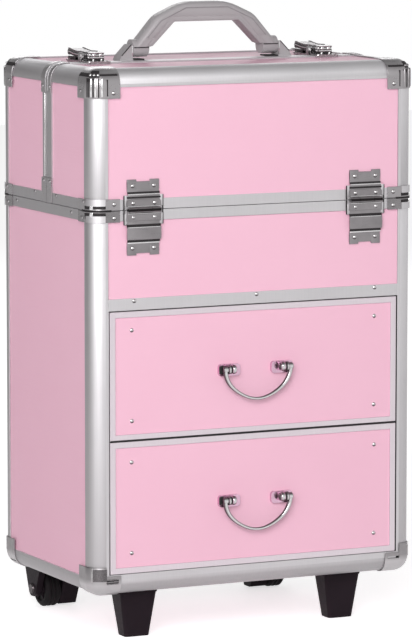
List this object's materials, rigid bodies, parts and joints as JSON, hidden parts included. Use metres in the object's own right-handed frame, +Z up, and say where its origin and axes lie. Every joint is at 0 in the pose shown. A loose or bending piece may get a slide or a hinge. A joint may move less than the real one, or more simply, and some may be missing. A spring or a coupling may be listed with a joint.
{
  "type": "wheeled makeup drawer case",
  "caption": "Upright aluminium-framed makeup trolley case with drawers, a split hinged top over level-lifting trays, top latches, carry handle, rear wheels and telescopic handle",
  "frame": {"origin": "On the floor, under the centre of the overall bounding box: midway between the outer faces left and right, and midway between the drawer pulls' posts in front and the wheels and trolley brackets at the back.", "axes": "X to the right as seen from the drawers, Y to the back, Z up. The drawers face -Y."},
  "size_m": [0.3624, 0.2552, 0.634],
  "materials": {
    "pink_laminate": "satin, with fine embossed lines across",
    "satin_aluminium": "satin anodised",
    "bright_nickel": "bright nickel plate",
    "zinc_plated_steel": "zinc plate",
    "black_plastic": "fine grain, moulded",
    "grey_plastic": "silver-grey, satin gloss",
    "wheel_rubber": "plain",
    "black_fibreboard": "fibreboard covered in black paper",
    "black_lining": "felted lining board",
    "tray_plastic": "plain"
  },
  "bodies": {
    "case": {"case_side_panels": "pink_laminate", "case_back_panel": "pink_laminate", "case_bottom_panel": "pink_laminate", "case_front_panel": "pink_laminate", "compartment_floor": "black_fibreboard", "case_corner_posts": "satin_aluminium", "case_bottom_rails": "satin_aluminium", "case_rim_rails": "satin_aluminium", "drawer_header_rail": "satin_aluminium", "case_bottom_corner_caps": "bright_nickel", "case_rim_corner_caps": "bright_nickel", "drawer_runner_channels": "zinc_plated_steel", "front_feet": "black_plastic", "wheel_brackets": "black_plastic", "wheel_axles": "zinc_plated_steel", "case_hinge_leaves": "bright_nickel", "hinge_pins": "bright_nickel", "trolley_outer_tubes": "satin_aluminium", "trolley_brackets": "black_plastic", "case_lining": "black_lining", "case_tray_pivots": "zinc_plated_steel"},
    "front_lid": {"front_lid_panels": "pink_laminate", "front_lid_rails": "satin_aluminium", "front_lid_corner_caps": "bright_nickel", "front_lid_hinge_leaves": "bright_nickel", "front_lid_lining": "black_lining", "front_tray_lid_pivots": "zinc_plated_steel", "latch_keepers": "bright_nickel"},
    "rear_lid": {"rear_lid_panels": "pink_laminate", "rear_lid_rails": "satin_aluminium", "rear_lid_corner_caps": "bright_nickel", "rear_lid_hinge_leaves": "bright_nickel", "rear_lid_lining": "black_lining", "rear_tray_lid_pivots": "zinc_plated_steel", "latch_bases": "bright_nickel", "handle_brackets": "grey_plastic"},
    "carry_handle": {"carry_handle": "grey_plastic"},
    "left_latch_lever": {"left_latch_lever": "bright_nickel"},
    "right_latch_lever": {"right_latch_lever": "bright_nickel"},
    "front_tray": {"front_tray": "tray_plastic"},
    "front_tray_arms": {"front_tray_arms": "zinc_plated_steel"},
    "rear_tray": {"rear_tray": "tray_plastic"},
    "rear_tray_arms": {"rear_tray_arms": "zinc_plated_steel"},
    "upper_drawer": {"upper_drawer_panel": "pink_laminate", "upper_drawer_frame": "satin_aluminium", "upper_drawer_box": "black_fibreboard", "upper_drawer_pull_posts": "bright_nickel"},
    "upper_drawer_pull": {"upper_drawer_pull": "bright_nickel"},
    "lower_drawer": {"lower_drawer_panel": "pink_laminate", "lower_drawer_frame": "satin_aluminium", "lower_drawer_box": "black_fibreboard", "lower_drawer_pull_posts": "bright_nickel"},
    "lower_drawer_pull": {"lower_drawer_pull": "bright_nickel"},
    "left_wheel": {"left_wheel": "wheel_rubber"},
    "right_wheel": {"right_wheel": "wheel_rubber"},
    "trolley_middle": {"trolley_middle_tubes": "satin_aluminium"},
    "trolley_handle": {"trolley_inner_tubes": "satin_aluminium", "trolley_grip": "black_plastic"},
    "release_button": {"trolley_release_button": "black_plastic"}
  },
  "joints": [
    {"name": "front_lid_hinge", "type": "hinge", "parent": "case", "child": "front_lid", "pos_m": [0, -0.1199, 0.436], "axis": [1, 0, 0], "range_deg": [0, 90]},
    {"name": "rear_lid_hinge", "type": "hinge", "parent": "case", "child": "rear_lid", "pos_m": [0, 0.1121, 0.436], "axis": [-1, 0, 0], "range_deg": [0, 90]},
    {"name": "front_tray_pivot", "type": "hinge", "parent": "front_lid", "child": "front_tray", "pos_m": [0, -0.0619, 0.518], "axis": [1, 0, 0], "range_deg": [-90, 0]},
    {"name": "front_tray_arm_pivot", "type": "hinge", "parent": "case", "child": "front_tray_arms", "pos_m": [0, -0.0859, 0.43], "axis": [1, 0, 0], "range_deg": [0, 90]},
    {"name": "rear_tray_pivot", "type": "hinge", "parent": "rear_lid", "child": "rear_tray", "pos_m": [0, 0.0541, 0.518], "axis": [-1, 0, 0], "range_deg": [-90, 0]},
    {"name": "rear_tray_arm_pivot", "type": "hinge", "parent": "case", "child": "rear_tray_arms", "pos_m": [0, 0.0781, 0.43], "axis": [-1, 0, 0], "range_deg": [0, 90]},
    {"name": "carry_handle_pivot", "type": "hinge", "parent": "rear_lid", "child": "carry_handle", "pos_m": [0, 0.0046, 0.588], "axis": [-1, 0, 0], "range_deg": [0, 90]},
    {"name": "left_latch_hinge", "type": "hinge", "parent": "rear_lid", "child": "left_latch_lever", "pos_m": [0, -0.003, 0.583], "axis": [1, 0, 0], "range_deg": [0, 105]},
    {"name": "right_latch_hinge", "type": "hinge", "parent": "rear_lid", "child": "right_latch_lever", "pos_m": [0, -0.003, 0.583], "axis": [1, 0, 0], "range_deg": [0, 105]},
    {"name": "upper_drawer_slide", "type": "slide", "parent": "case", "child": "upper_drawer", "axis": [0, -1, 0], "range_m": [0, 0.17]},
    {"name": "lower_drawer_slide", "type": "slide", "parent": "case", "child": "lower_drawer", "axis": [0, -1, 0], "range_m": [0, 0.17]},
    {"name": "upper_pull_pivot", "type": "hinge", "parent": "upper_drawer", "child": "upper_drawer_pull", "pos_m": [0, -0.1234, 0.2715], "axis": [-1, 0, 0], "range_deg": [0, 100]},
    {"name": "lower_pull_pivot", "type": "hinge", "parent": "lower_drawer", "child": "lower_drawer_pull", "pos_m": [0, -0.1234, 0.1385], "axis": [-1, 0, 0], "range_deg": [0, 100]},
    {"name": "left_wheel_axle", "type": "hinge", "parent": "case", "child": "left_wheel", "pos_m": [0, 0.1081, 0.0195], "axis": [1, 0, 0], "continuous": true},
    {"name": "right_wheel_axle", "type": "hinge", "parent": "case", "child": "right_wheel", "pos_m": [0, 0.1081, 0.0195], "axis": [1, 0, 0], "continuous": true},
    {"name": "trolley_lower_stage", "type": "slide", "parent": "case", "child": "trolley_middle", "axis": [0, 0, -1], "range_m": [-0.29, 0]},
    {"name": "trolley_upper_stage", "type": "slide", "parent": "trolley_middle", "child": "trolley_handle", "axis": [0, 0, -1], "range_m": [-0.28, 0]},
    {"name": "release_button_travel", "type": "slide", "parent": "trolley_handle", "child": "release_button", "axis": [0, 0, -1], "range_m": [0, 0.0025], "stiffness_N_per_m": 400, "springref_m": -0.002}
  ],
  "couplings": [
    {"joint": "front_tray_pivot", "follows": "front_lid_hinge", "ratio": -1},
    {"joint": "front_tray_arm_pivot", "follows": "front_lid_hinge", "ratio": 1},
    {"joint": "rear_tray_pivot", "follows": "rear_lid_hinge", "ratio": -1},
    {"joint": "rear_tray_arm_pivot", "follows": "rear_lid_hinge", "ratio": 1}
  ]
}
